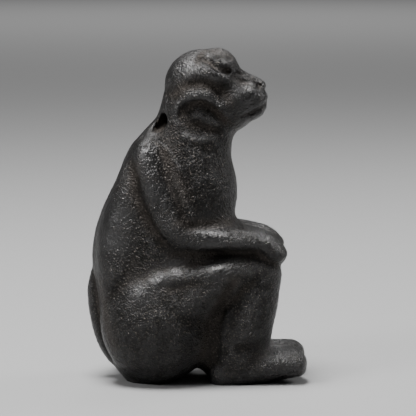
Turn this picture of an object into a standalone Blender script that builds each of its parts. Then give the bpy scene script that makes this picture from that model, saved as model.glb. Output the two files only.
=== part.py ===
"""A small cast-iron monkey, seated with its hands on its knees and its head tilted back.

It faces +X, its left side is at +Y, and it stands on the plane z = 0.
Pose, proportions and carving are shares of the height: 68 parts make the whole height.
Seen from the side, a place on the figure is (x, z) in parts, with x = 0 at the middle of its length.
"""

import bmesh
import bpy
import numpy as np
from mathutils import Matrix, Vector

HEIGHT = 0.068
PART = HEIGHT / 68
CORD_HOLE_DIAMETER = 0.0028

# The fineness of the work, in points round and along a mass, and in parts
RING_POINTS = 48
STEPS_BETWEEN = 5
CAP_STEPS = 8
EGG_POINTS = (72, 48)
BORE_POINTS = 20
TOE_BLUNTNESS = 0.72
VOXEL = 0.42
SOFTENING_ROUNDS = 9
MOST_TRIANGLES = 9300

# A stroke fades out over this much of a face's turning away from it
FACING_FADE = 0.35
# What makes a step's highest point as high as its edge says
STEP_PEAK = 2.33

IRON_COLOUR = (0.045, 0.043, 0.042, 1.0)
IRON_ROUGHNESS = 0.42


def clear_scene():
    for thing in list(bpy.data.objects):
        bpy.data.objects.remove(thing, do_unlink=True)


def smooth_path(points, steps=STEPS_BETWEEN):
    """A Catmull-Rom curve through the rows of points, of any width."""
    points = np.array(points, float)
    first = 2 * points[0] - points[1]
    last = 2 * points[-1] - points[-2]
    held = np.vstack([first, points, last])
    rows = []
    for i in range(1, len(held) - 2):
        for t in np.arange(steps) / steps:
            rows.append(
                held[i]
                + 0.5 * t * (held[i + 1] - held[i - 1])
                + t**2 * (held[i - 1] - 2.5 * held[i] + 2 * held[i + 1] - 0.5 * held[i + 2])
                + t**3 * (1.5 * (held[i] - held[i + 1]) + 0.5 * (held[i + 2] - held[i - 1]))
            )
    rows.append(points[-1])
    return np.array(rows)


def close_loft(bm, rings):
    """Joins rings of points into one closed skin, with a point at each end."""
    made = [[bm.verts.new(point) for point in ring] for ring in rings]
    for ring, following in zip(made, made[1:]):
        for i in range(len(ring)):
            j = (i + 1) % len(ring)
            bm.faces.new((ring[i], ring[j], following[j], following[i]))
    for ring, turn in ((made[0], -1), (made[-1], 1)):
        middle = sum((vert.co for vert in ring), Vector()) / len(ring)
        tip = bm.verts.new(middle)
        for i in range(len(ring)):
            j = (i + 1) % len(ring)
            bm.faces.new((ring[i], ring[j], tip)[::turn])


def add_limb(bm, stations, side=1, bluntness=1.0):
    """A limb along stations of (x, y, z, half depth, half width).

    Its ends are round, or flatter with a bluntness under 1.
    """
    path = smooth_path(stations)
    centres = path[:, :3] * (1, side, 1)
    sizes = path[:, 3:]
    ways = np.gradient(centres, axis=0)
    ways /= np.linalg.norm(ways, axis=1)[:, None]
    rounds = np.linspace(-90, 0, CAP_STEPS, endpoint=False)[1:]
    rows = [(0, np.radians(angle)) for angle in rounds]
    rows += [(i, 0.0) for i in range(len(path))]
    rows += [(len(path) - 1, np.radians(-angle)) for angle in rounds[::-1]]
    angles = np.linspace(0, 2 * np.pi, RING_POINTS, endpoint=False)
    rings = []
    for i, tilt in rows:
        across = np.array((0.0, 1.0, 0.0)) - ways[i][1] * ways[i]
        across /= np.linalg.norm(across)
        up = np.cross(ways[i], across)
        depth, width = sizes[i] * np.cos(tilt)
        middle = centres[i] + ways[i] * sizes[i].min() * np.sin(tilt) * bluntness
        rings.append(
            middle
            + depth * np.cos(angles)[:, None] * up
            + width * np.sin(angles)[:, None] * across
        )
    close_loft(bm, rings)


def add_limbs(bm, stations, bluntness=1.0):
    for side in (-1, 1):
        add_limb(bm, stations, side, bluntness)


def add_trunk(bm, levels, squareness):
    """Level rings from (z, back x, front x, half width)."""
    angles = np.linspace(0, 2 * np.pi, RING_POINTS * 2, endpoint=False)
    outward = np.sign(np.cos(angles)) * np.abs(np.cos(angles)) ** (2 / squareness)
    sideways = np.sign(np.sin(angles)) * np.abs(np.sin(angles)) ** (2 / squareness)
    rings = []
    for z, back, front, half_width in smooth_path(levels):
        ring = np.empty((len(angles), 3))
        ring[:, 0] = (front + back) / 2 + (front - back) / 2 * outward
        ring[:, 1] = half_width * sideways
        ring[:, 2] = z
        rings.append(ring)
    close_loft(bm, rings)


def add_egg(bm, centre, half_sizes, tilt=0.0, side=1):
    """An ellipsoid, tilted nose up by some degrees."""
    x, y, z = centre
    place = (
        Matrix.Translation((x, y * side, z))
        @ Matrix.Rotation(np.radians(-tilt), 4, "Y")
        @ Matrix.Diagonal((*half_sizes, 1))
    )
    bmesh.ops.create_uvsphere(
        bm, u_segments=EGG_POINTS[0], v_segments=EGG_POINTS[1], radius=1, matrix=place
    )


def add_eggs(bm, centre, half_sizes, tilt=0.0):
    for side in (-1, 1):
        add_egg(bm, centre, half_sizes, tilt, side)


def model_trunk(bm):
    add_trunk(
        bm,
        [
            (-1.0, -14.0, -8.4, 6.5),
            (3.0, -17.1, -1.4, 9.5),
            (8.0, -18.6, 2.0, 11.6),
            (14.0, -20.1, 3.0, 12.3),
            (20.0, -21.0, 5.0, 12.1),
            (25.0, -21.5, 7.0, 11.6),
            (30.0, -21.0, 8.0, 11.3),
            (34.0, -19.8, 7.8, 11.0),
            (38.0, -18.1, 8.4, 10.8),
            (42.0, -16.0, 8.1, 10.6),
            (46.0, -14.4, 7.1, 10.2),
            (49.5, -12.3, 7.4, 9.2),
            (52.0, -9.8, 8.4, 8.3),
            (54.5, -7.9, 8.6, 7.9),
            (58.0, -6.8, 7.6, 7.4),
            (60.0, -5.0, 6.0, 6.4),
        ],
        squareness=2.35,
    )
    # The back, squarer than the chest, up to the shoulders
    add_trunk(
        bm,
        [
            (10.0, -17.0, -6.0, 9.5),
            (16.0, -19.4, -6.0, 10.6),
            (22.0, -20.6, -6.0, 11.0),
            (28.0, -20.8, -5.0, 11.0),
            (34.0, -19.6, -4.0, 10.7),
            (38.0, -18.0, -3.0, 10.6),
            (42.0, -16.1, -2.0, 10.5),
            (46.0, -14.5, -1.0, 10.3),
            (48.8, -12.9, 0.0, 9.4),
            (50.8, -11.0, 1.0, 7.8),
            (53.0, -9.0, 2.0, 6.0),
        ],
        squareness=3.1,
    )
    # The foot of the chest, spreading over the lap
    add_trunk(
        bm,
        [
            (28.5, -8.0, 10.4, 10.2),
            (30.8, -7.4, 9.7, 9.9),
            (32.0, -6.6, 8.9, 9.4),
            (33.2, -5.8, 8.2, 8.8),
            (34.8, -4.8, 7.7, 8.1),
        ],
        squareness=2.8,
    )


def model_tail(bm):
    """A flat strip up the small of the back, ending in a small step."""
    add_limb(
        bm,
        [
            (-13.2, 0, 2.6, 2.4, 2.9),
            (-16.9, 0, 5.4, 2.4, 2.8),
            (-19.2, 0, 10.0, 2.2, 2.7),
            (-20.3, 0, 14.6, 2.0, 2.6),
            (-20.7, 0, 18.4, 1.9, 2.5),
            (-20.4, 0, 21.8, 1.5, 2.2),
        ],
    )


def model_legs(bm):
    # Haunch, thigh, knee, then shin and foot
    add_eggs(bm, (-7.9, 6.0, 13.0), (11.8, 8.6, 13.2))
    add_limbs(
        bm,
        [
            (-6.0, 6.2, 15.2, 9.2, 8.1),
            (-1.0, 6.5, 18.0, 7.0, 7.3),
            (4.0, 6.6, 21.2, 5.2, 6.1),
            (9.0, 6.3, 23.2, 4.2, 5.1),
            (12.6, 5.9, 23.2, 4.1, 4.4),
        ],
    )
    # The rounded edge that runs along the top of both
    add_limbs(
        bm,
        [
            (-13.6, 9.0, 14.0, 3.0, 3.2),
            (-11.4, 9.6, 17.4, 3.0, 3.2),
            (-8.4, 9.9, 20.1, 3.0, 3.2),
            (-4.6, 10.0, 21.6, 2.8, 3.2),
            (-0.6, 9.8, 22.0, 2.7, 3.2),
            (3.4, 9.3, 22.4, 2.8, 3.2),
            (7.4, 8.4, 23.4, 3.0, 3.2),
            (10.8, 7.3, 23.8, 3.0, 3.1),
        ],
    )
    # What fills the groove between the thigh and the calf
    add_limbs(
        bm,
        [
            (3.4, 6.6, 16.6, 3.0, 3.0),
            (2.4, 6.6, 12.6, 3.4, 3.3),
            (1.6, 6.4, 9.0, 3.6, 3.3),
            (1.6, 6.0, 6.2, 3.0, 3.2),
        ],
    )
    add_limbs(
        bm,
        [
            (12.6, 5.7, 22.4, 4.9, 4.6),
            (11.0, 5.7, 16.8, 5.7, 5.0),
            (9.2, 5.6, 11.0, 6.3, 5.1),
            (8.1, 5.4, 6.0, 6.4, 5.0),
            (7.9, 5.4, 4.6, 6.4, 4.9),
        ],
    )
    add_limbs(
        bm,
        [
            (5.0, 5.4, 2.4, 4.2, 4.7),
            (11.0, 5.2, 3.2, 4.0, 4.8),
            (15.5, 5.1, 3.6, 3.4, 4.7),
            (20.6, 5.1, 4.0, 3.0, 4.4),
        ],
        bluntness=TOE_BLUNTNESS,
    )
    # The block that joins the feet, level with their tops
    add_limb(
        bm,
        [
            (8.0, 0, 3.2, 3.4, 3.2),
            (15.0, 0, 3.3, 3.2, 3.2),
            (19.8, 0, 3.7, 2.7, 3.0),
        ],
        bluntness=TOE_BLUNTNESS,
    )
    # What fills the space between the legs, kept behind their fronts
    add_trunk(
        bm,
        [
            (0.5, 2.4, 11.0, 5.4),
            (2.2, 0.6, 11.2, 6.4),
            (4.4, -3.0, 11.5, 6.8),
            (14.0, -4.0, 12.2, 6.0),
            (22.0, -4.0, 14.0, 6.5),
            (26.0, -4.0, 13.5, 7.0),
        ],
        squareness=2.6,
    )


def model_arms(bm):
    add_limbs(
        bm,
        [
            (-9.2, 6.2, 49.0, 1.9, 2.2),
            (-10.2, 8.2, 47.0, 2.5, 3.0),
            (-9.6, 9.0, 44.0, 2.8, 3.2),
            (-8.4, 9.3, 40.0, 3.1, 3.3),
            (-6.6, 9.5, 36.0, 3.4, 3.2),
            (-5.0, 9.6, 32.6, 3.4, 3.1),
            (-2.9, 9.5, 30.0, 2.8, 2.9),
            (2.0, 9.2, 29.6, 2.3, 2.7),
            (8.0, 8.7, 29.5, 2.2, 2.7),
            (12.0, 8.0, 29.2, 2.2, 2.8),
            (14.8, 7.4, 28.1, 2.4, 3.1),
            (16.4, 7.2, 26.9, 2.1, 3.0),
        ],
    )
    # The slope from the upper arm to the chest
    add_limbs(
        bm,
        [
            (-6.2, 7.2, 47.4, 1.8, 2.6),
            (-5.4, 7.9, 44.4, 2.3, 3.0),
            (-4.2, 8.2, 41.0, 2.6, 3.1),
            (-2.8, 8.3, 37.4, 2.6, 3.1),
            (-1.4, 8.2, 34.2, 2.4, 3.0),
        ],
    )
    # The lap, filled level with the forearms and the backs of the hands
    add_limb(
        bm,
        [
            (0.0, 0, 28.0, 3.8, 8.2),
            (7.0, 0, 28.2, 3.4, 8.2),
            (12.0, 0, 28.0, 3.2, 7.9),
            (14.5, 0, 26.8, 3.0, 7.6),
            (16.0, 0, 25.8, 2.6, 7.2),
        ],
    )


def model_head(bm):
    add_egg(bm, (1.1, 0, 60.7), (7.6, 8.6, 7.1))
    add_egg(bm, (0.6, 0, 57.0), (7.6, 7.9, 6.6))
    add_egg(bm, (4.0, 0, 61.3), (5.2, 7.4, 6.8))
    # The cheeks, then the jaw and muzzle, the chin and the nose
    add_egg(bm, (5.0, 0, 57.2), (6.2, 7.7, 6.2), -30)
    add_limb(
        bm,
        [
            (4.0, 0, 57.0, 6.2, 7.2),
            (8.0, 0, 57.0, 5.9, 6.4),
            (10.5, 0, 57.3, 4.2, 5.2),
            (11.3, 0, 57.3, 3.5, 4.4),
        ],
    )
    add_egg(bm, (11.0, 0, 55.3), (2.7, 3.6, 2.1))
    add_limb(bm, [(4.8, 0, 62.2, 3.6, 4.0), (9.0, 0, 61.0, 2.5, 3.3), (12.6, 0, 60.2, 1.75, 2.4)])


# Sculpting: each stroke is a short curve drawn on the side, front or back of the figure


def stroke_places(path, places):
    """For each place (n, 2): distance from the curve, side of it, and share of its length."""
    line = smooth_path(path)
    starts = line[:-1]
    runs = np.diff(line, axis=0)
    lengths = np.linalg.norm(runs, axis=1)
    before = np.concatenate([[0], np.cumsum(lengths)[:-1]])
    nearest = np.full(len(places), np.inf)
    sides = np.zeros(len(places))
    shares = np.zeros(len(places))
    for start, run, length, done in zip(starts, runs, lengths, before):
        away = places - start
        t = np.clip(away @ run / length**2, 0, 1)
        gap = away - t[:, None] * run
        distance = np.linalg.norm(gap, axis=1)
        closer = distance < nearest
        nearest[closer] = distance[closer]
        side = np.sign(run[0] * away[:, 1] - run[1] * away[:, 0])
        sides[closer] = side[closer]
        shares[closer] = ((done + t * length) / lengths.sum())[closer]
    return nearest, sides, shares


class Clay:
    """The figure's skin while it is being carved, in parts."""

    def __init__(self, mesh):
        self.mesh = mesh
        self.read()

    def read(self):
        count = len(self.mesh.vertices)
        self.places = np.empty(count * 3)
        self.normals = np.empty(count * 3)
        self.mesh.vertices.foreach_get("co", self.places)
        self.mesh.vertices.foreach_get("normal", self.normals)
        self.places = self.places.reshape(-1, 3)
        self.normals = self.normals.reshape(-1, 3)

    def write(self):
        self.mesh.vertices.foreach_set("co", self.places.ravel())
        self.mesh.update()
        self.read()

    def outward(self, rim):
        """How far each point faces out to its own side. A rim above 0 lets a stroke run over the edge."""
        facing = self.normals[:, 1] * np.sign(self.places[:, 1])
        return np.clip((facing + rim) / FACING_FADE, 0, 1)

    def side_stroke(self, path, width, rise=0.0, edge=0.0, rim=0.0, taper=0.2, taper_end=None):
        """Raises or sinks both sides of the figure along a curve of (x, z) points.

        Rise makes a ridge, or a groove below 0. Edge makes a step: up on the left of the curve
        and down on its right, seen with x to the right and z up.
        """
        nearest, sides, shares = stroke_places(path, self.places[:, [0, 2]])
        near = nearest / width
        shape = rise * np.exp(-(near**2)) + edge * STEP_PEAK * sides * near * np.exp(-(near**2))
        ends = np.clip(shares / taper, 0, 1)
        ends *= np.clip((1 - shares) / (taper_end or taper), 0, 1)
        ends = ends * ends * (3 - 2 * ends)
        self.move(shape * ends * self.outward(rim))

    def front_stroke(self, path, width, rise, way=1, foremost=-99, taper=0.1):
        """The same for a curve of (y, z) points on the front, or on the back with a way of -1."""
        nearest, _, shares = stroke_places(path, self.places[:, 1:])
        facing = np.clip(self.normals[:, 0] * way / FACING_FADE, 0, 1)
        reached = self.places[:, 0] > foremost
        ends = np.clip(shares / taper, 0, 1) * np.clip((1 - shares) / taper, 0, 1)
        self.move(rise * np.exp(-((nearest / width) ** 2)) * facing * reached * ends)

    def dab(self, x, z, radius, rise, stretch=1.0, tilt=0.0, rim=0.0):
        """A bump, or a dent below 0, on both sides. Stretch lengthens it along its tilt."""
        turn = np.radians(tilt)
        dx = self.places[:, 0] - x
        dz = self.places[:, 2] - z
        along = (dx * np.cos(turn) + dz * np.sin(turn)) / stretch
        across = dz * np.cos(turn) - dx * np.sin(turn)
        near = np.hypot(along, across) / radius
        self.move(rise * np.exp(-(near**2)) * self.outward(rim))

    def move(self, amount):
        self.places += self.normals * amount[:, None]
        self.write()


def carve_head(clay):
    # The cap line round the back and top of the head
    clay.side_stroke(
        [(-5.4, 55.6), (-5.0, 58.8), (-4.2, 61.6), (-2.6, 64.2), (-0.2, 66.0), (2.2, 66.4)],
        width=0.9, rise=-0.18, edge=0.08, rim=0.1, taper=0.3,
    )
    # The hollow band from the temple to the jaw, above the ear
    clay.side_stroke(
        [(-4.3, 59.2), (-2.6, 60.8), (0.0, 61.6), (2.6, 61.3), (5.1, 59.9), (6.8, 57.8), (7.8, 55.8)],
        width=1.3, rise=-0.95, taper=0.3, taper_end=0.5,
    )
    # The ear: a C-shaped rim, a hollow, an inner fold and a hollow below it
    clay.side_stroke(
        [
            (-2.7, 51.2), (-4.2, 53.6), (-4.0, 56.4), (-2.4, 58.4), (0.4, 59.1),
            (2.5, 58.6), (4.6, 56.9), (6.3, 54.6), (7.2, 53.2),
        ],
        width=0.9, rise=0.55, taper=0.15, taper_end=0.35,
    )
    clay.side_stroke(
        [(-2.2, 54.4), (-1.5, 56.2), (0.7, 57.0), (2.9, 56.2), (4.6, 54.9), (5.8, 53.5)],
        width=0.9, rise=-0.45, taper=0.2,
    )
    clay.side_stroke(
        [(-1.3, 54.5), (0.3, 54.9), (2.0, 54.5), (3.8, 53.6), (5.4, 52.8)],
        width=0.75, rise=0.35,
    )
    clay.side_stroke(
        [(-1.8, 53.2), (0.7, 52.6), (3.0, 51.9), (5.8, 51.6)],
        width=0.85, rise=-0.4,
    )
    # The edge of the shoulders under the ear
    clay.side_stroke(
        [(-3.6, 52.4), (-2.2, 51.0), (-0.2, 50.3), (2.2, 50.3), (4.6, 50.4)],
        width=1.1, rise=0.35,
    )
    # The eye, the fold under it and the cheekbone
    clay.dab(5.5, 65.7, 1.2, 0.8, stretch=1.4, tilt=-10, rim=0.3)
    clay.side_stroke(
        [(0.6, 66.4), (2.3, 65.7), (4.1, 64.6), (5.9, 64.1), (7.4, 63.6)],
        width=0.65, rise=-0.75, rim=0.3, taper=0.12,
    )
    clay.dab(3.6, 63.2, 1.9, 0.45, stretch=1.4, tilt=-10)
    # The side of the nose, the nostril, the cheek and the mouth
    clay.side_stroke(
        [(7.0, 63.6), (8.1, 62.2), (9.4, 61.6), (11.0, 61.3), (12.3, 60.8), (13.3, 59.8)],
        width=0.75, rise=-0.5, rim=0.2,
    )
    clay.dab(11.2, 59.6, 1.2, 0.4, stretch=1.3, tilt=-60)
    clay.side_stroke(
        [(14.6, 57.2), (12.6, 55.6), (10.6, 54.6), (8.8, 54.0)],
        width=0.55, rise=-0.4, rim=0.3, taper=0.05, taper_end=0.4,
    )
    clay.front_stroke([(-2.2, 57.0), (0, 57.3), (2.2, 57.0)], width=0.5, rise=-0.35, foremost=12)
    clay.front_stroke([(-2.0, 59.6), (0, 59.5), (2.0, 59.6)], width=0.5, rise=-0.4, foremost=11.5)


def carve_arms(clay):
    # The rear edge of the upper arm down to the elbow, and the groove behind it
    clay.side_stroke(
        [
            (-12.9, 48.4), (-12.5, 44.5), (-11.7, 40.2), (-10.3, 36.2),
            (-8.8, 33.4), (-7.2, 31.0), (-5.4, 28.6),
        ],
        width=1.3, edge=0.3, rise=-0.25, taper=0.25, taper_end=0.12,
    )
    # The front edge of the upper arm
    clay.side_stroke(
        [(-8.8, 49.8), (-8.1, 47.8), (-7.0, 44.6), (-5.8, 41.2), (-4.3, 37.6), (-2.8, 34.2)],
        width=1.2, edge=-0.12, rise=0.08, taper=0.25, taper_end=0.5,
    )
    # The hollow in front of the arm, and the low crest between it and the chest
    clay.side_stroke(
        [(-7.4, 48.6), (-6.3, 46.6), (-5.4, 44.4), (-4.6, 42.0)],
        width=1.0, rise=-0.25, taper=0.4, taper_end=0.5,
    )
    clay.side_stroke(
        [(-7.9, 49.8), (-6.3, 48.7), (-4.9, 47.1), (-3.8, 45.2), (-2.6, 42.8), (-1.6, 40.2)],
        width=0.9, rise=0.22, taper=0.3, taper_end=0.5,
    )
    # The shoulder blade behind the arm
    clay.side_stroke(
        [(-14.0, 47.4), (-13.9, 43.6), (-14.4, 38.4)],
        width=1.0, rise=0.25, taper=0.4,
    )
    # The forearm's top edge and its underside
    clay.side_stroke(
        [(-4.6, 31.8), (-1.0, 31.4), (3.0, 31.5), (8.0, 31.7), (12.0, 31.4)],
        width=0.8, rise=0.35, rim=0.3,
    )
    clay.side_stroke(
        [(-5.0, 27.6), (0.0, 27.2), (6.0, 27.3), (12.0, 27.2), (15.0, 25.6)],
        width=0.9, rise=-0.35, rim=0.2,
    )


def carve_hand(clay):
    finger_slope = Vector((2.6, -3.2))
    for across in (-1.35, 0.0, 1.35):
        start = Vector((15.0, 30.0)) + across * Vector((0.78, 0.62))
        clay.side_stroke(
            [start, start + 0.5 * finger_slope, start + finger_slope],
            width=0.45, rise=-0.22, rim=0.1,
        )


def carve_legs(clay):
    # The ridge along the top of the thigh
    clay.side_stroke(
        [
            (-14.2, 14.6), (-12.6, 18.0), (-10.4, 20.3), (-7.5, 22.2), (-4.4, 23.2),
            (-1.2, 23.5), (1.8, 23.6), (5.2, 24.2), (8.0, 25.2), (10.4, 25.8),
        ],
        width=1.3, rise=0.4, rim=0.2, taper=0.15,
    )
    # The groove between the thigh and the calf
    clay.side_stroke(
        [(9.6, 24.0), (7.6, 22.2), (5.4, 19.0), (3.5, 15.0), (2.1, 11.0), (1.3, 7.4), (0.8, 4.0)],
        width=1.2, rise=-0.3, edge=-0.2, taper=0.25, taper_end=0.5,
    )
    # The rear edge of the shin
    clay.side_stroke(
        [(9.2, 22.6), (7.4, 19.0), (6.4, 14.9), (5.4, 10.8), (4.6, 7.6)],
        width=0.9, rise=0.35,
    )
    # The ankle
    clay.side_stroke(
        [(7.0, 7.6), (11.0, 8.0), (15.2, 8.6)],
        width=1.2, rise=-0.35, rim=0.2,
    )


def carve_back(clay):
    # The groove down each side of the tail
    for side in (-1, 1):
        clay.front_stroke(
            [
                (0.6 * side, 25.0), (2.4 * side, 21.4), (3.2 * side, 17.0),
                (3.4 * side, 11.0), (3.2 * side, 3.0),
            ],
            width=1.1, rise=-0.4, way=-1, taper=0.3,
        )


def carve_front(clay):
    # The parting between the shins, and a fainter one between the toes
    clay.front_stroke([(0, 7.5), (0, 16.0), (0, 25.0)], width=1.1, rise=-0.7, foremost=8)
    clay.front_stroke([(0, -0.5), (0, 3.0), (0, 6.5)], width=0.8, rise=-0.3, foremost=16, taper=0.3)


def iron():
    material = bpy.data.materials.new("cast_iron")
    material.use_nodes = True
    shader = material.node_tree.nodes["Principled BSDF"]
    shader.inputs["Base Color"].default_value = IRON_COLOUR
    shader.inputs["Roughness"].default_value = IRON_ROUGHNESS
    shader.inputs["Metallic"].default_value = 1.0
    return material


def new_object(name, bm):
    mesh = bpy.data.meshes.new(name)
    bm.to_mesh(mesh)
    bm.free()
    thing = bpy.data.objects.new(name, mesh)
    bpy.context.scene.collection.objects.link(thing)
    return thing


def apply_modifiers(thing):
    graph = bpy.context.evaluated_depsgraph_get()
    mesh = bpy.data.meshes.new_from_object(thing.evaluated_get(graph))
    thing.modifiers.clear()
    thing.data = mesh


def blend_masses(thing):
    """Makes one skin of the overlapping masses, and softens where they meet."""
    remesh = thing.modifiers.new("one_skin", "REMESH")
    remesh.mode = "VOXEL"
    remesh.voxel_size = VOXEL
    soften = thing.modifiers.new("soften", "SMOOTH")
    soften.factor = 0.5
    soften.iterations = SOFTENING_ROUNDS
    apply_modifiers(thing)


def facet(thing):
    """Leaves the fewest triangles that still hold the carving."""
    thin = thing.modifiers.new("facets", "DECIMATE")
    thin.ratio = MOST_TRIANGLES / (2 * len(thing.data.polygons))
    thin.use_collapse_triangulate = True
    thin.use_symmetry = True
    thin.symmetry_axis = "Y"
    apply_modifiers(thing)


def stand_flat(thing):
    """Cuts the figure off level where it stands."""
    bm = bmesh.new()
    bm.from_mesh(thing.data)
    cut_edges = bmesh.ops.bisect_plane(
        bm, geom=bm.verts[:] + bm.edges[:] + bm.faces[:],
        plane_co=(0, 0, 0), plane_no=(0, 0, -1), clear_outer=True,
    )["geom_cut"]
    rim = [part for part in cut_edges if isinstance(part, bmesh.types.BMEdge)]
    soles = bmesh.ops.holes_fill(bm, edges=rim, sides=0)["faces"]
    bmesh.ops.triangulate(bm, faces=soles)
    bm.to_mesh(thing.data)
    bm.free()


def cord_hole_cutter(side):
    """One of the two slanting bores that meet inside the nape, with its flared mouth."""
    meeting = Vector((-3.5, 0.0, 54.4))
    mouth = Vector((-7.2, 5.0 * side, 53.4))
    mouth_depth = 1.0
    flare_reach = 2.0
    flare_spread = 1.5
    flare_lean = Vector((-0.2, 0.0, -0.35))
    way = (mouth - meeting).normalized()
    radius = CORD_HOLE_DIAMETER / 2 / PART
    across = way.orthogonal().normalized()
    step = 2 * np.pi / BORE_POINTS
    # The two bores' points are turned apart, so that none of them meet
    first_turn = 0.3 if side > 0 else 0.75
    rings = []
    for start, along, size in (
        (meeting, -radius, 1.0),
        (mouth, -mouth_depth, 1.0),
        (mouth + flare_lean, flare_reach, flare_spread),
    ):
        middle = start + along * way
        spoke = size * radius * across
        turns = [Matrix.Rotation((i + first_turn) * step, 3, way) for i in range(BORE_POINTS)]
        rings.append([middle + turn @ spoke for turn in turns])
    bm = bmesh.new()
    close_loft(bm, rings)
    bmesh.ops.recalc_face_normals(bm, faces=bm.faces)
    return helper(f"cord_hole_cutter_{'left' if side > 0 else 'right'}", bm)


def helper(name, bm):
    thing = new_object(name, bm)
    thing.hide_render = True
    thing.display_type = "WIRE"
    return thing


def cut(thing, cutter):
    boolean = thing.modifiers.new(cutter.name, "BOOLEAN")
    boolean.operation = "DIFFERENCE"
    boolean.solver = "EXACT"
    boolean.object = cutter


def model_figure():
    bm = bmesh.new()
    model_trunk(bm)
    model_tail(bm)
    model_legs(bm)
    model_arms(bm)
    model_head(bm)
    figure = new_object("monkey_figure", bm)
    blend_masses(figure)
    clay = Clay(figure.data)
    for carve in (carve_head, carve_arms, carve_hand, carve_legs, carve_back, carve_front):
        carve(clay)
    return figure


def main():
    clear_scene()
    figure = model_figure()
    facet(figure)
    stand_flat(figure)
    figure.data.materials.clear()
    figure.data.materials.append(iron())
    for side in (-1, 1):
        cut(figure, cord_hole_cutter(side))
    for thing in bpy.data.objects:
        thing.scale = (PART, PART, PART)


main()
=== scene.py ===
import math

import bpy
import numpy as np
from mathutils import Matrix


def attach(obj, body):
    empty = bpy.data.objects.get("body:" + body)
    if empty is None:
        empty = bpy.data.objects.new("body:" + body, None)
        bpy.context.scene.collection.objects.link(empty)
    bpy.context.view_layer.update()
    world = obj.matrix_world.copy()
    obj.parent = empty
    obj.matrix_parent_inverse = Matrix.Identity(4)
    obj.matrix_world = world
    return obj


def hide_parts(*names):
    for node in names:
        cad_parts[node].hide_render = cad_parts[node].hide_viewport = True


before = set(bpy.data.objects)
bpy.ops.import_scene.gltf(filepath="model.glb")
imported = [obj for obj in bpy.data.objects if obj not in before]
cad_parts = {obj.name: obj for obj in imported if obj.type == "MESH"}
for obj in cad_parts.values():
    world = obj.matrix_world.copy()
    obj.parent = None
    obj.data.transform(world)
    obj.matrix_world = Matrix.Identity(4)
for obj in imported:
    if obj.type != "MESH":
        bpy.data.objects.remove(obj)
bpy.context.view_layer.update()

MM = 0.001

# The casting's skin
SKIN_VOXEL = 0.29 * MM
SMOOTHING_ROUNDS = 6
MOST_TRIANGLES = 190000
# Width and height of the swells, lumps and grains that sand casting leaves
UNEVENNESS = (
    ("swells", 4.5 * MM, 0.2 * MM),
    ("lumps", 1.6 * MM, 0.12 * MM),
    ("grains", 0.75 * MM, 0.12 * MM),
)
FLAT_BASE_DEPTH = 0.3 * MM
# How fast a mark fades where the skin turns away from the side
FACING_FADE = 0.35

# Hollows and crests: rounds of smoothing that they are read against, and the depths that count as full, in mm
BROAD_ROUNDS = 40
FINE_ROUNDS = 8
BROAD_SHARE = 0.7
FINE_SHARE = 0.3
FULL_HOLLOW = (0.35, 0.06)
FULL_CREST = (0.3, 0.05)

# Places on the side, in mm: rubbed smooth and given painted highlights (x, z, radius); and dust along
# creases, rust along the cap line and painted shade on some bands (path of x, z, width)
POLISHED_AND_HIGHLIGHT_PLACES = (
    (-1.8, 63.9, 3.4), (3.7, 62.9, 1.6), (10.0, 58.5, 3.5), (-10.0, 47.0, 2.8), (-8.5, 40.0, 2.6),
    (3.0, 31.5, 4.0), (13.5, 30.8, 2.2), (-11.0, 19.6, 2.6), (-7.5, 22.3, 2.6), (-4.4, 24.3, 2.6),
    (4.0, 24.5, 3.0), (16.5, 7.0, 3.5), (-16.4, 35.0, 3.6), (-17.0, 30.0, 3.6),
    # painted highlights on the eye, the brow over it and the ear's rim
    (6.0, 65.7, 0.7), (2.3, 66.6, 0.6), (-1.5, 58.2, 1.0), (0.8, 58.7, 1.0), (2.8, 58.1, 1.0),
)
DUST_AND_SHADE_PLACES = (
    # painted shade: the band round the top of the ear, under the skull's bulge
    (((-4.3, 58.9), (-2.6, 60.5), (0.0, 61.2), (2.6, 60.9), (5.1, 59.6), (6.8, 57.4)), 1.1),
    (((0.2, 65.6), (0.6, 66.4), (1.2, 67.1), (1.9, 67.7)), 0.6),
    # painted shade: the shaded side of the brow over the eye
    (((3.4, 67.6), (4.6, 67.7), (6.0, 67.2), (7.2, 66.4)), 0.7),
    # darker and matte inside the ear
    (((-2.6, 55.2), (-1.0, 56.9), (1.2, 57.2), (3.6, 55.8), (5.6, 53.6)), 0.8),
    (((-1.6, 53.2), (0.8, 52.7), (3.0, 52.0)), 0.8),
    (((-6.6, 47.4), (-5.0, 44.6), (-3.6, 41.4), (-2.2, 38.0)), 1.2),
    (((-12.4, 45.0), (-12.2, 40.0), (-10.6, 35.6), (-8.4, 31.8)), 1.2),
    (((-4.0, 33.6), (0.0, 33.4), (4.0, 33.4), (7.0, 33.2)), 0.9),
    # painted shade under the forearms
    (((-5.0, 27.2), (0.0, 26.9), (6.0, 27.0), (11.0, 26.8)), 0.9),
    (((7.4, 21.6), (5.0, 18.0), (3.2, 14.0), (2.0, 10.0), (1.4, 6.0)), 1.3),
    (((-19.6, 21.0), (-18.6, 15.0), (-16.8, 8.0)), 1.0),
)

# The camera: level with the figure's right side, a little above it
CAMERA_DISTANCE = 0.45
CAMERA_ELEVATION = math.radians(7)
CAMERA_AIM_HEIGHT = 0.0342
SENSOR_WIDTH = 0.036
VIEW_WIDTH = 0.08545
CAMERA_SHIFT = (0.0276, 0.0116)

# The iron's colours, and the floor's
DARK_IRON = (0.013, 0.0125, 0.012, 1)
PALE_IRON = (0.022, 0.021, 0.02, 1)
# Pale iron for rubbed ridges, also used as painted highlights on the polished places
RUBBED_AND_HIGHLIGHT_IRON = (0.13, 0.129, 0.13, 1)
# Matte brown for dust in the hollows, also used as painted shade on some bands
DUST_AND_SHADE_BROWN = (0.045, 0.034, 0.026, 1)
SPECK = (0.11, 0.096, 0.083, 1)
FLOOR_COLOUR = (0.36, 0.36, 0.36, 1)
FLOOR_WIDTH = 20

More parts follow.
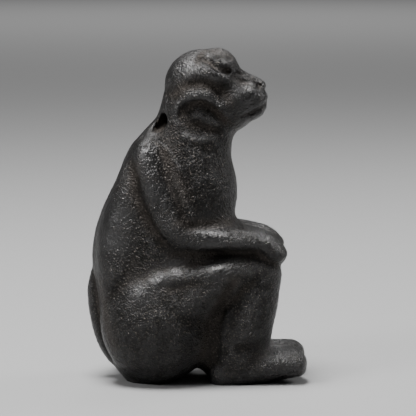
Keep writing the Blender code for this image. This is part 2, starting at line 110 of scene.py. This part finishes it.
# The studio's lamps: name, place, aim, width and power. The last one lights the floor behind the figure
FIGURE_MIDDLE = (0, 0, 0.035)
LAMPS = (
    ("top_softbox", (-0.08, -0.04, 0.6), FIGURE_MIDDLE, 0.26, 7.5),
    ("side_softbox", (-0.42, -0.3, 0.4), FIGURE_MIDDLE, 0.2, 1.5),
    ("front_softbox", (0.5, 0.3, 0.35), FIGURE_MIDDLE, 0.25, 1.5),
    ("floor_softbox", (0, 2.2, 1.5), (0, 2.4, 0), 1.4, 21.0),
)
WORLD_COLOUR = (0.5, 0.5, 0.51, 1)
WORLD_STRENGTH = 0.12


def only_active(piece):
    bpy.ops.object.select_all(action="DESELECT")
    piece.select_set(True)
    bpy.context.view_layer.objects.active = piece


def apply_modifier(piece, name, kind, **settings):
    only_active(piece)
    modifier = piece.modifiers.new(name, kind)
    for setting, value in settings.items():
        setattr(modifier, setting, value)
    bpy.ops.object.modifier_apply(modifier=name)


def cloud_texture(name, width):
    texture = bpy.data.textures.new(name, "CLOUDS")
    texture.noise_scale = width
    texture.noise_depth = 2
    return texture


def copy_of_solid(node, name):
    """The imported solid's shape as a new piece, with its loose triangles joined."""
    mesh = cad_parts[node].data.copy()
    mesh.name = name
    piece = bpy.data.objects.new(name, mesh)
    bpy.context.scene.collection.objects.link(piece)
    only_active(piece)
    bpy.ops.object.mode_set(mode="EDIT")
    bpy.ops.mesh.select_all(action="SELECT")
    bpy.ops.mesh.remove_doubles(threshold=0.01 * MM)
    bpy.ops.object.mode_set(mode="OBJECT")
    return piece


def smooth_path(points, steps=6):
    """A Catmull-Rom curve through the points."""
    points = np.array(points, float)
    held = np.vstack([2 * points[0] - points[1], points, 2 * points[-1] - points[-2]])
    rows = []
    for i in range(1, len(held) - 2):
        for t in np.arange(steps) / steps:
            rows.append(
                held[i]
                + 0.5 * t * (held[i + 1] - held[i - 1])
                + t**2 * (held[i - 1] - 2.5 * held[i] + 2 * held[i + 1] - 0.5 * held[i + 2])
                + t**3 * (1.5 * (held[i] - held[i + 1]) + 0.5 * (held[i + 2] - held[i - 1]))
            )
    rows.append(points[-1])
    return np.array(rows)


def along_path(path, places):
    """For each place: distance from the curve, side of it, and share of its length."""
    line = smooth_path(path)
    starts = line[:-1]
    runs = np.diff(line, axis=0)
    lengths = np.linalg.norm(runs, axis=1)
    before = np.concatenate([[0], np.cumsum(lengths)[:-1]])
    nearest = np.full(len(places), np.inf)
    sides = np.zeros(len(places))
    shares = np.zeros(len(places))
    for start, run, length, done in zip(starts, runs, lengths, before):
        away = places - start
        t = np.clip(away @ run / length**2, 0, 1)
        distance = np.linalg.norm(away - t[:, None] * run, axis=1)
        closer = distance < nearest
        nearest[closer] = distance[closer]
        sides[closer] = np.sign(run[0] * away[:, 1] - run[1] * away[:, 0])[closer]
        shares[closer] = ((done + t * length) / lengths.sum())[closer]
    return nearest, sides, shares


class Skin:
    """The casting's points while finer marks are cut in them, in millimetres."""

    def __init__(self, piece):
        self.mesh = piece.data
        self.read()

    def read(self):
        count = len(self.mesh.vertices)
        places = np.empty(count * 3)
        normals = np.empty(count * 3)
        self.mesh.vertices.foreach_get("co", places)
        self.mesh.vertices.foreach_get("normal", normals)
        self.places = places.reshape(-1, 3) / MM
        self.normals = normals.reshape(-1, 3)

    def move(self, amount):
        self.places += self.normals * amount[:, None]
        self.write()

    def write(self):
        self.mesh.vertices.foreach_set("co", (self.places * MM).ravel())
        self.mesh.update()
        self.read()

    def outward(self, rim):
        facing = self.normals[:, 1] * np.sign(self.places[:, 1])
        return np.clip((facing + rim) / FACING_FADE, 0, 1)

    def line(self, path, width, rise=0.0, edge=0.0, rim=0.0, taper=0.15):
        """A ridge, or a groove below 0, on both sides along (x, z) points. Edge steps up on its left."""
        nearest, sides, shares = along_path(path, self.places[:, [0, 2]])
        near = nearest / width
        shape = rise * np.exp(-(near**2)) + edge * 2.33 * sides * near * np.exp(-(near**2))
        ends = np.clip(shares / taper, 0, 1) * np.clip((1 - shares) / taper, 0, 1)
        self.move(shape * ends * ends * (3 - 2 * ends) * self.outward(rim))

    def dab(self, x, z, radius, rise, stretch=1.0, tilt=0.0, rim=0.0):
        """A bump, or a dent below 0, on both sides, lengthened along its tilt."""
        self.move(rise * self.round_share(x, z, radius, stretch, tilt) * self.outward(rim))

    def round_share(self, x, z, radius, stretch=1.0, tilt=0.0):
        turn = math.radians(tilt)
        dx = self.places[:, 0] - x
        dz = self.places[:, 2] - z
        along = (dx * math.cos(turn) + dz * math.sin(turn)) / stretch
        across = dz * math.cos(turn) - dx * math.sin(turn)
        return np.exp(-((np.hypot(along, across) / radius) ** 2))

    def nearness(self, path, width):
        """1 on a curve of (x, z) points on both sides, fading to 0 away from it."""
        nearest, _, _ = along_path(path, self.places[:, [0, 2]])
        return np.exp(-((nearest / width) ** 2)) * self.outward(0.0)

    def relief(self, rounds):
        """How far each point lies under (above 0) or over the skin as smoothed by some rounds."""
        edges = np.empty(len(self.mesh.edges) * 2, int)
        self.mesh.edges.foreach_get("vertices", edges)
        edges = edges.reshape(-1, 2)
        ends = np.concatenate([edges[:, 0], edges[:, 1]])
        others = np.concatenate([edges[:, 1], edges[:, 0]])
        count = len(self.places)
        links = np.bincount(ends, minlength=count)
        smooth = self.places.copy()
        for _ in range(rounds):
            for axis in range(3):
                smooth[:, axis] = np.bincount(ends, smooth[others, axis], minlength=count) / links
        return ((smooth - self.places) * self.normals).sum(axis=1)

    def mark(self, name, values):
        attribute = self.mesh.attributes.new(name, "FLOAT", "POINT")
        attribute.data.foreach_set("value", np.asarray(values, np.float32))


def cut_face(skin):
    # The eye between its lids, the brow over it and the folds under it
    skin.dab(5.9, 65.1, 0.7, 0.7, stretch=1.25, tilt=-20, rim=0.3)
    skin.line(
        [(2.4, 65.6), (4.0, 64.3), (5.6, 63.7), (7.2, 63.5)],
        width=0.35, rise=-0.36, rim=0.4, taper=0.1,
    )
    skin.line([(3.6, 66.0), (4.8, 66.6), (6.2, 66.4), (7.3, 65.6)], width=0.38, rise=-0.45, rim=0.5)
    skin.dab(2.3, 66.5, 0.55, 0.32, stretch=1.4, tilt=-30, rim=0.4)
    skin.line([(3.4, 63.7), (5.0, 63.1), (6.6, 62.7)], width=0.4, rise=-0.14)
    skin.dab(3.8, 63.0, 0.9, 0.15, stretch=1.3, tilt=-10)
    # The side of the nose with its nostril, and the fold that runs down to the lip
    skin.line([(7.6, 63.3), (9.7, 62.6), (11.7, 61.5), (13.6, 60.0)], width=0.35, rise=-0.32, rim=0.2)
    skin.line([(8.4, 61.2), (9.8, 61.0), (11.2, 60.6)], width=0.5, rise=-0.14, rim=0.1)
    skin.dab(12.8, 60.2, 0.5, -0.3, stretch=1.5, tilt=-35, rim=0.3)
    skin.dab(11.2, 59.9, 0.7, 0.24, stretch=1.3, tilt=-50, rim=0.1)
    skin.line([(11.6, 59.4), (10.8, 58.4), (9.8, 57.6)], width=0.5, rise=0.14)
    # The mouth to its corner
    skin.line([(14.4, 56.9), (12.9, 55.8), (10.8, 54.9), (8.6, 54.2)], width=0.35, rise=-0.3, rim=0.3)
    skin.dab(13.4, 54.7, 0.6, 0.12, rim=0.3)
    # The line of the cap, faint up the back of the head and deeper down the brow
    skin.line(
        [(-5.6, 56.0), (-5.4, 59.0), (-4.7, 61.8), (-3.2, 64.2), (-1.4, 65.8)],
        width=0.45, rise=-0.14, rim=0.1, taper=0.25,
    )
    skin.line(
        [(1.3, 67.1), (0.6, 66.7), (0.5, 66.2), (1.5, 65.8), (2.8, 65.3)],
        width=0.4, rise=-0.2, rim=0.3, taper=0.25,
    )


def cut_ear(skin):
    # The rim, the hollow and fold inside it, and the band that sets it off from the head
    skin.line(
        [
            (-4.4, 53.4), (-4.0, 56.2), (-2.2, 58.0), (0.6, 58.6), (2.6, 58.1), (4.7, 56.5), (6.4, 54.3),
        ],
        width=0.55, rise=0.42, taper=0.2,
    )
    skin.line([(-2.6, 55.2), (-1.0, 56.9), (1.2, 57.2), (3.6, 55.8), (5.6, 53.6)], width=0.55, rise=-0.26)
    skin.line([(-0.8, 54.7), (1.0, 54.4), (2.8, 53.3), (4.6, 52.8)], width=0.4, rise=0.16)
    skin.line([(-1.6, 53.2), (0.8, 52.7), (3.0, 52.0)], width=0.5, rise=-0.16)
    skin.line(
        [(-4.0, 59.3), (-2.6, 60.7), (0.0, 61.4), (2.6, 61.1), (5.0, 59.7), (6.8, 57.4)],
        width=0.8, rise=-0.16, taper=0.3,
    )


def widen_cord_hole(skin):
    skin.dab(-7.6, 53.1, 1.3, -0.45)
    skin.dab(-7.7, 52.3, 1.0, -0.7)


def cut_arm(skin):
    # The edge of the shoulders under the ear
    skin.line([(-3.4, 52.0), (-2.0, 50.7), (0.2, 50.0), (3.0, 49.9)], width=0.6, rise=0.16, taper=0.3)
    # The worn ridge down the front of the shoulder, and the crease from the nape in front of it
    skin.line([(-8.7, 49.6), (-8.1, 48.0), (-7.2, 45.6), (-6.3, 43.0)], width=0.45, rise=0.22, taper=0.3)
    skin.line(
        [(-9.6, 50.8), (-7.9, 49.9), (-6.3, 48.7), (-4.9, 47.1), (-3.8, 45.2), (-2.8, 43.2)],
        width=0.4, rise=0.18, taper=0.25,
    )
    # The edge of the elbow, and the rounded edge of the back behind the arm
    skin.line([(-9.0, 35.6), (-8.1, 33.8), (-7.2, 32.0), (-6.2, 30.2)], width=0.4, rise=0.16, taper=0.3)
    skin.line([(-13.4, 43.6), (-14.4, 40.6), (-16.2, 35.4), (-17.1, 29.8)], width=1.0, rise=0.14, taper=0.3)


def cut_hand(skin):
    for across in (-1.35, 0.0, 1.35):
        x, z = 15.0 + 0.78 * across, 30.0 + 0.62 * across
        skin.line([(x, z), (x + 1.3, z - 1.6), (x + 2.6, z - 3.2)], width=0.4, rise=-0.08, rim=0.1)


def round_the_casting():
    piece = copy_of_solid("monkey_figure", "monkey_casting")
    apply_modifier(piece, "round_facets", "SUBSURF", levels=1, render_levels=1)
    apply_modifier(piece, "one_skin", "REMESH", mode="VOXEL", voxel_size=SKIN_VOXEL)
    apply_modifier(piece, "soften", "SMOOTH", factor=0.5, iterations=SMOOTHING_ROUNDS)
    return piece


def add_lumps(piece):
    """The uneven skin that sand casting leaves."""
    for name, width, height in UNEVENNESS:
        apply_modifier(
            piece, name, "DISPLACE", texture=cloud_texture(name, width),
            texture_coords="LOCAL", strength=height, mid_level=0.5,
        )


def round_toes(skin):
    skin.dab(22.3, 7.6, 1.6, -0.5, rim=1.0)


def hold_to_triangles(piece, most):
    count = sum(len(face.vertices) - 2 for face in piece.data.polygons)
    if count > most:
        apply_modifier(piece, "fewer_triangles", "DECIMATE", ratio=most / count)


def set_base_flat(skin):
    low = (skin.places[:, 2] < FLAT_BASE_DEPTH / MM) & (skin.normals[:, 2] < -0.6)
    skin.places[low, 2] = 0
    skin.places[:, 2] = np.maximum(skin.places[:, 2], 0)
    skin.write()


def share_of_full(broad, fine, full):
    return np.clip(broad / full[0], 0, 1) * BROAD_SHARE + np.clip(fine / full[1], 0, 1) * FINE_SHARE


def mark_dust_wear_and_painted_light(skin):
    broad = skin.relief(BROAD_ROUNDS)
    fine = skin.relief(FINE_ROUNDS)
    dust_and_shade_paths = np.zeros(len(skin.places))
    for path, width in DUST_AND_SHADE_PLACES:
        dust_and_shade_paths = np.maximum(dust_and_shade_paths, skin.nearness(path, width))
    # Dust in the hollows and along creases, and painted shade along some bands
    skin.mark("dust_and_shade", np.maximum(share_of_full(broad, fine, FULL_HOLLOW), dust_and_shade_paths))
    skin.mark("crest", share_of_full(-broad, -fine, FULL_CREST))
    # Rubbed places, most of them also painted highlights
    polish_and_painted_highlight = np.zeros(len(skin.places))
    for x, z, radius in POLISHED_AND_HIGHLIGHT_PLACES:
        polish_and_painted_highlight = np.maximum(polish_and_painted_highlight, skin.round_share(x, z, radius))
    skin.mark("polish_and_painted_highlight", polish_and_painted_highlight * (1 - dust_and_shade_paths))


def group_with(name, inputs, outputs):
    group = bpy.data.node_groups.new(name, "ShaderNodeTree")
    for socket, kind in inputs:
        group.interface.new_socket(socket, in_out="INPUT", socket_type=kind)
    for socket, kind in outputs:
        group.interface.new_socket(socket, in_out="OUTPUT", socket_type=kind)
    return group, group.nodes.new("NodeGroupInput"), group.nodes.new("NodeGroupOutput")


def blended(tree, factor, low, high, kind="FLOAT"):
    """A Mix node between two values, colours or sockets."""
    node = tree.nodes.new("ShaderNodeMix")
    node.data_type = kind
    first = {"FLOAT": 2, "RGBA": 6}[kind]
    for index, value in ((0, factor), (first, low), (first + 1, high)):
        if isinstance(value, bpy.types.NodeSocket):
            tree.links.new(value, node.inputs[index])
        else:
            node.inputs[index].default_value = value
    return node.outputs[{"FLOAT": 0, "RGBA": 2}[kind]]


def worked(tree, operation, first, second):
    node = tree.nodes.new("ShaderNodeMath")
    node.operation = operation
    for index, value in enumerate((first, second)):
        if isinstance(value, bpy.types.NodeSocket):
            tree.links.new(value, node.inputs[index])
        else:
            node.inputs[index].default_value = value
    return node.outputs[0]


def ramped(tree, value, low, high):
    node = tree.nodes.new("ShaderNodeMapRange")
    node.inputs["From Min"].default_value = low
    node.inputs["From Max"].default_value = high
    tree.links.new(value, node.inputs["Value"])
    return node.outputs["Result"]


def noise(tree, place, per_mm, detail=2.0, roughness=0.5):
    node = tree.nodes.new("ShaderNodeTexNoise")
    node.inputs["Scale"].default_value = per_mm
    node.inputs["Detail"].default_value = detail
    node.inputs["Roughness"].default_value = roughness
    tree.links.new(place, node.inputs["Vector"])
    return node.outputs["Fac"]


def dots(tree, place, per_mm, rim, top):
    """Round grains, one in each cell: 0 from rim outwards and 1 from top inwards, in cell widths."""
    node = tree.nodes.new("ShaderNodeTexVoronoi")
    node.inputs["Scale"].default_value = per_mm
    tree.links.new(place, node.inputs["Vector"])
    return ramped(tree, node.outputs["Distance"], rim, top)


def casting_grain():
    """Sand grain as a height, its paler specks, and larger patches. Place is in millimetres."""
    tree, given, out = group_with(
        "casting_grain",
        [("Place", "NodeSocketVector")],
        [("Height", "NodeSocketFloat"), ("Specks", "NodeSocketFloat"), ("Patches", "NodeSocketFloat")],
    )
    place = given.outputs["Place"]
    fine = noise(tree, place, 2.4, detail=3.0, roughness=0.65)
    coarse = noise(tree, place, 1.1, detail=2.0)
    patches = noise(tree, place, 0.22, detail=3.0, roughness=0.6)
    grains = worked(tree, "MULTIPLY", dots(tree, place, 2.3, 0.75, 0.05), ramped(tree, coarse, 0.35, 0.6))
    height = worked(tree, "ADD", worked(tree, "MULTIPLY", fine, 0.6), worked(tree, "MULTIPLY", grains, 0.3))
    specks = worked(tree, "MULTIPLY", dots(tree, place, 2.3, 0.48, 0.15), ramped(tree, fine, 0.42, 0.6))
    tree.links.new(height, out.inputs["Height"])
    tree.links.new(specks, out.inputs["Specks"])
    tree.links.new(ramped(tree, patches, 0.35, 0.65), out.inputs["Patches"])
    return tree


def mask(tree, name):
    node = tree.nodes.new("ShaderNodeAttribute")
    node.attribute_name = name
    return node.outputs["Fac"]


def cast_iron():
    material = bpy.data.materials.new("blackened_cast_iron")
    material.use_nodes = True
    tree = material.node_tree
    shader = tree.nodes["Principled BSDF"]
    place = tree.nodes.new("ShaderNodeMapping")
    place.inputs["Scale"].default_value = (1 / MM, 1 / MM, 1 / MM)
    tree.links.new(tree.nodes.new("ShaderNodeTexCoord").outputs["Object"], place.inputs["Vector"])
    grain = tree.nodes.new("ShaderNodeGroup")
    grain.node_tree = casting_grain()
    tree.links.new(place.outputs["Vector"], grain.inputs["Place"])
    dust_and_shade, crest, polish_and_painted_highlight = mask(tree, "dust_and_shade"), mask(tree, "crest"), mask(tree, "polish_and_painted_highlight")

    # Dust in the hollows, and painted shade on the listed bands: a matte brown over the iron
    dust_and_shade_share = worked(tree, "MULTIPLY", dust_and_shade, blended(tree, grain.outputs["Patches"], 0.55, 1.0))
    # Rubbed ridges, and painted highlights at the polished places: a much paler, glossier iron
    rubbed_and_painted_highlight = worked(
        tree, "MAXIMUM", worked(tree, "MULTIPLY", crest, 0.5), worked(tree, "MULTIPLY", polish_and_painted_highlight, 0.8)
    )
    colour = blended(tree, grain.outputs["Patches"], DARK_IRON, PALE_IRON, "RGBA")
    colour = blended(tree, worked(tree, "MULTIPLY", rubbed_and_painted_highlight, 0.7), colour, RUBBED_AND_HIGHLIGHT_IRON, "RGBA")
    colour = blended(tree, worked(tree, "MULTIPLY", dust_and_shade_share, 0.6), colour, DUST_AND_SHADE_BROWN, "RGBA")
    specks = worked(tree, "MULTIPLY", grain.outputs["Specks"], blended(tree, polish_and_painted_highlight, 1.0, 0.35))
    colour = blended(tree, specks, colour, SPECK, "RGBA")
    tree.links.new(colour, shader.inputs["Base Color"])
    tree.links.new(blended(tree, dust_and_shade_share, 0.92, 0.5), shader.inputs["Metallic"])

    rough = blended(tree, dust_and_shade_share, 0.35, 0.55)
    rough = blended(tree, worked(tree, "MULTIPLY", rubbed_and_painted_highlight, 0.8), rough, 0.22)
    tree.links.new(rough, shader.inputs["Roughness"])

    bump = tree.nodes.new("ShaderNodeBump")
    bump.inputs["Distance"].default_value = 0.7 * MM
    bump.inputs["Strength"].default_value = 1.0
    height = worked(tree, "MULTIPLY", grain.outputs["Height"], blended(tree, polish_and_painted_highlight, 1.0, 0.4))
    tree.links.new(height, bump.inputs["Height"])
    tree.links.new(bump.outputs["Normal"], shader.inputs["Normal"])
    return material


def plain_paint(name, colour, roughness):
    material = bpy.data.materials.new(name)
    material.use_nodes = True
    shader = material.node_tree.nodes["Principled BSDF"]
    shader.inputs["Base Color"].default_value = colour
    shader.inputs["Roughness"].default_value = roughness
    return material


def lay_floor():
    bpy.ops.object.select_all(action="DESELECT")
    bpy.ops.mesh.primitive_plane_add(size=FLOOR_WIDTH, location=(0, 0, -0.00002))
    floor = bpy.context.object
    floor.name = "studio_floor"
    floor.data.materials.append(plain_paint("pale_floor", FLOOR_COLOUR, 0.8))


def add_lamp(name, place, aim, size, power):
    lamp = bpy.data.lights.new(name, "AREA")
    lamp.shape = "DISK"
    lamp.size = size
    lamp.energy = power
    thing = bpy.data.objects.new(name, lamp)
    bpy.context.scene.collection.objects.link(thing)
    thing.location = place
    way = np.array(aim, float) - np.array(place, float)
    level = math.hypot(way[0], way[1])
    thing.rotation_euler = (math.atan2(level, -way[2]), 0, math.atan2(-way[0], way[1]))


def light_the_studio():
    for name, place, aim, size, power in LAMPS:
        add_lamp(name, place, aim, size, power)
    world = bpy.data.worlds.new("studio")
    world.use_nodes = True
    background = world.node_tree.nodes["Background"]
    background.inputs["Color"].default_value = WORLD_COLOUR
    background.inputs["Strength"].default_value = WORLD_STRENGTH
    bpy.context.scene.world = world


def set_camera():
    camera = bpy.data.cameras.new("camera")
    camera.sensor_width = SENSOR_WIDTH / MM
    camera.lens = SENSOR_WIDTH * CAMERA_DISTANCE / VIEW_WIDTH / MM
    camera.shift_x, camera.shift_y = CAMERA_SHIFT
    camera.clip_start = 0.01
    thing = bpy.data.objects.new("camera", camera)
    bpy.context.scene.collection.objects.link(thing)
    thing.location = (
        0,
        -CAMERA_DISTANCE * math.cos(CAMERA_ELEVATION),
        CAMERA_AIM_HEIGHT + CAMERA_DISTANCE * math.sin(CAMERA_ELEVATION),
    )
    thing.rotation_euler = (math.pi / 2 - CAMERA_ELEVATION, 0, 0)
    bpy.context.scene.camera = thing


def model_casting():
    piece = round_the_casting()
    skin = Skin(piece)
    cut_face(skin)
    cut_ear(skin)
    widen_cord_hole(skin)
    cut_arm(skin)
    cut_hand(skin)
    round_toes(skin)
    add_lumps(piece)
    hold_to_triangles(piece, MOST_TRIANGLES)
    skin = Skin(piece)
    set_base_flat(skin)
    mark_dust_wear_and_painted_light(skin)
    only_active(piece)
    bpy.ops.object.shade_smooth()
    piece.data.materials.clear()
    piece.data.materials.append(cast_iron())
    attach(piece, "root")
    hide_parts("monkey_figure")


model_casting()
lay_floor()
light_the_studio()
set_camera()
